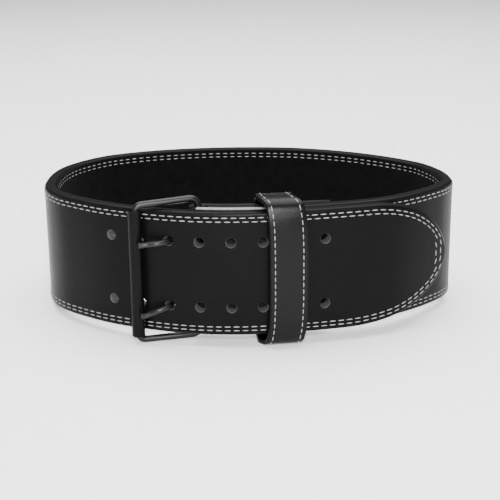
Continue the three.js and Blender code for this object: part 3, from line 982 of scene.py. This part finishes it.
def make_prong(name, hole, drop):
    """A prong through that hole, its tip lower than the hole by the drop."""
    path = prong_line(hole, drop)
    mesh = bpy.data.meshes.new(name)
    mesh.from_pydata([tuple(p) for p in path], [(k, k + 1) for k in range(len(path) - 1)], [])
    prong = bpy.data.objects.new(name, mesh)
    bpy.context.collection.objects.link(prong)
    prong = wire_round(prong, prong_radius)
    prong.data.materials.clear()
    prong.data.materials.append(black_enamel)
    prong.data.materials.append(cut_metal)
    slope = loop.at(np.array([roller_distance % loop.length]))[1][0]
    out = Vector((slope[1], -slope[0], 0))
    tip = Vector(path[-1])
    cut = ((tip - Vector(path[-2])).normalized() + out * tip_slant).normalized()
    only(prong)
    bpy.ops.object.mode_set(mode="EDIT")
    bpy.ops.mesh.select_all(action="SELECT")
    bpy.ops.mesh.bisect(
        plane_co=tip - out * prong_radius * MM, plane_no=cut, clear_outer=True, use_fill=True
    )
    bpy.ops.object.mode_set(mode="OBJECT")
    for face in prong.data.polygons:
        near = (face.center - tip).length < tip_reach_back * MM
        face.material_index = 1 if near and face.normal.dot(cut) > along_cut else 0
    bpy.ops.object.select_all(action="DESELECT")
    bpy.ops.mesh.primitive_torus_add(
        major_radius=(wire_radius + seat_gap + prong_radius) * MM, minor_radius=prong_radius * MM,
        major_segments=eye_sides[0], minor_segments=eye_sides[1],
        location=(pivot_centre[0] * MM, pivot_centre[1] * MM, (hole + eye_lift * drop) * MM),
    )
    eye = bpy.context.object
    bpy.ops.object.transform_apply(location=True)
    eye.data.materials.append(black_enamel)
    prong.select_set(True)
    bpy.context.view_layer.objects.active = prong
    bpy.ops.object.join()
    stand_up(prong)
    return prong


lower_drop = 7.5
upper_drop = 2.2
hand_in(make_prong("lower_prong", hole_heights[0], lower_drop), "black_metal", "prong_lower")
hand_in(make_prong("upper_prong", hole_heights[1], upper_drop), "black_metal", "prong_upper")

# %% [markdown]
# ## Stitching
# Two rows of lockstitch follow the edges outside and inside, and the outer ones run round the
# tip. One stitch is a small stretched ball that sinks at its ends; it is copied along each row.

# %% One stitch
stitch_pitch = 7.0
stitch_length = 5.2
stitch_width = 0.95
stitch_height = 0.8
stitch_sides = 8
stitch_rings = 5

bpy.ops.object.select_all(action="DESELECT")
bpy.ops.mesh.primitive_uv_sphere_add(
    segments=stitch_sides, ring_count=stitch_rings, radius=0.5, rotation=(0, math.pi / 2, 0)
)
one_stitch = bpy.context.object
bpy.ops.object.transform_apply(rotation=True)
stitch_points = np.array([v.co for v in one_stitch.data.vertices])
stitch_points *= (stitch_length, stitch_height, stitch_width)
stitch_faces = [list(face.vertices) for face in one_stitch.data.polygons]
bpy.data.objects.remove(one_stitch)
print("faces in a stitch:", len(stitch_faces))


# %% Sew rows of stitches
def even_places(line, pitch, start=0.5):
    """Points and slopes at an even pitch along a line of (distance, height) points."""
    rail = Rail(line)
    return rail.at((np.arange(int(rail.length / pitch)) + start) * pitch)


def sew(name, rows, depth, path, slot_name, stitch=stitch_points):
    """One object with a stitch at every place of the rows, its middle at that depth."""
    flats, faces = [], []
    for points, slopes in rows:
        for point, slope in zip(points, slopes):
            across = np.array([-slope[1], slope[0]])
            spread = point + stitch[:, 0:1] * slope + stitch[:, 2:3] * across
            base = len(flats) * len(stitch)
            flats.append(np.column_stack([spread[:, 0], depth + stitch[:, 1], spread[:, 1]]))
            faces += [[base + corner for corner in face] for face in stitch_faces]
    mesh = bpy.data.meshes.new(name)
    mesh.from_pydata((np.vstack(flats) * MM).tolist(), [], faces)
    seam = bpy.data.objects.new(name, mesh)
    bpy.context.collection.objects.link(seam)
    mesh.materials.append(grey_thread)
    bend(seam, path)
    hand_in(seam, slot_name)


# %% Outer and inner seams
row_offsets = (4.2, 7.3)
seam_end = 4.0
outer_sink = 0.05
inner_sink = 0.2


def edge_rows(start, offset, around):
    """The outline of the strap, moved in by an offset: one line round the tip, or its two edges."""
    distances = stations_from(start)
    lower, upper = outline_from(distances)
    lower = lower + outline_normals(lower, 1) * offset
    upper = upper + outline_normals(upper, -1) * offset
    inside = distances < tip_end - offset
    if around:
        return [np.vstack([lower[inside], upper[inside][::-1]])]
    short = distances < loop.length + pivot_distance - seam_end
    return [lower[short], upper[short]]


outer_start = ply_step + seam_end
outer_rows = [
    even_places(line, stitch_pitch)
    for off in row_offsets
    for line in edge_rows(outer_start, off, True)
]
sew("outer_stitching", outer_rows, -outer_sink, strap_path, "black_leather")
inner_start = pivot_distance + rear_length + seam_end
inner_rows = [
    even_places(line, stitch_pitch, 0.0)
    for off in row_offsets
    for line in edge_rows(inner_start, off, False)
]
sew("inner_stitching", inner_rows, strap_thick - inner_sink, strap_path, "black_suede")

# %% [markdown]
# The fold is sewn down with the same rows inside. The keeper has one row along each edge, of
# shorter and finer stitches.

# %% Fold and keeper seams
seam_points = 40
fold_from = front_length + wrap_length + 12.0
fold_to = fold_length - 6.0
fold_along = np.linspace(fold_from, fold_to, seam_points)
fold_rows = [
    even_places(np.array([[a, h] for a in fold_along]), stitch_pitch)
    for off in row_offsets
    for h in (off, strap_height - off)
]
sew("fold_stitching", fold_rows, -outer_sink, fold_path, "fold_leather")
keeper_pitch = 5.5
keeper_row_in = 4.0
keeper_seam_end = 2.0
keeper_along = np.linspace(keeper_seam_end, keeper_ring.length - keeper_seam_end, 2 * seam_points)
keeper_lines = [
    np.array([[a, side * (half_width - keeper_row_in)] for a in keeper_along]) for side in (-1, 1)
]
keeper_seams = [even_places(line, keeper_pitch) for line in keeper_lines]
keeper_stitch = stitch_points * (0.78, 1, 0.9)
sew("keeper_stitching", keeper_seams, -outer_sink, keeper_path, "black_leather", keeper_stitch)

# %% [markdown]
# ## Studio
# The belt stands on a broad white floor under soft lights. A large one overhead gives the shadow
# and the line along the rim. Two in front, one above the other, light the faces and put the
# highlights on the metal. Two weak ones at the sides give the paler bands on the round sides.

# %% Floor and sky
floor_size = 60.0
sky_strength = 0.22
bpy.ops.object.select_all(action="DESELECT")
bpy.ops.mesh.primitive_plane_add(size=floor_size, location=(0, 2, 0))
floor = bpy.context.object
floor.name = "studio_floor"
white_paper = new_finish(
    "matte_white_paper",
    {"Base Color": paint("#fafafa"), "Roughness": 0.9, "Specular IOR Level": 0.1},
)[0]
floor.data.materials.append(white_paper)

sky = bpy.data.worlds.new("white_studio_room")
sky.use_nodes = True
backdrop = sky.node_tree.nodes["Background"]
backdrop.inputs["Color"].default_value = paint("#ffffff")
backdrop.inputs["Strength"].default_value = sky_strength
bpy.context.scene.world = sky


# %% Soft lights
def soft_light(name, place, aim, size, power):
    """A square soft light at a place, aimed at a point."""
    light = bpy.data.lights.new(name, "AREA")
    light.shape = "SQUARE"
    light.size = size
    light.energy = power
    lamp = bpy.data.objects.new(name, light)
    lamp.location = place
    lamp.rotation_euler = (Vector(aim) - Vector(place)).to_track_quat("-Z", "Y").to_euler()
    bpy.context.collection.objects.link(lamp)


on_floor = (0, 0, 0)
on_belt = (0, 0, 0.05)
soft_light("overhead_softbox", (0.0, 0.35, 1.6), on_floor, size=2.0, power=95)
soft_light("front_softbox", (0.1, -1.85, 1.0), on_belt, size=0.5, power=80)
soft_light("low_front_softbox", (0.1, -1.95, 0.65), on_belt, size=0.5, power=16)
soft_light("left_softbox", (-1.3, 0.2, 0.7), on_belt, size=0.8, power=1.5)
soft_light("right_softbox", (1.3, 0.2, 0.7), on_belt, size=0.8, power=1.5)

# %% [markdown]
# ## Camera
# The photo was taken with a long lens from a little above. The camera leans with the belt, so it
# is placed beside the loop first, like the pieces.

# %% Camera
photo_pixels = 500.0
focal_pixels = 1160.0
shift_pixels = -1.4
sensor_width = 36.0
pitch = math.radians(17.33)
roll = math.radians(-0.55)
camera_spot = Vector((0.0, -849.33, 336.56))
forward = Vector((0, math.cos(pitch), -math.sin(pitch)))
up = Vector((0, math.sin(pitch), math.cos(pitch)))
right = Vector((1, 0, 0))
image_right = math.cos(roll) * right + math.sin(roll) * up
image_up = -math.sin(roll) * right + math.cos(roll) * up
camera_data = bpy.data.cameras.new("long_lens")
camera_data.sensor_width = sensor_width
camera_data.lens = sensor_width * focal_pixels / photo_pixels
camera_data.shift_y = shift_pixels / photo_pixels
camera_data.clip_start = 0.05
camera_data.clip_end = 50.0
camera = bpy.data.objects.new("photo_camera", camera_data)
axes = Matrix([image_right, image_up, -forward]).transposed()
camera_place = Matrix.Translation(belt_place * MM + lean @ camera_spot * MM)
camera.matrix_world = camera_place @ (lean @ axes).to_4x4()
bpy.context.collection.objects.link(camera)
bpy.context.scene.camera = camera
print("lens in mm:", round(camera_data.lens, 1))
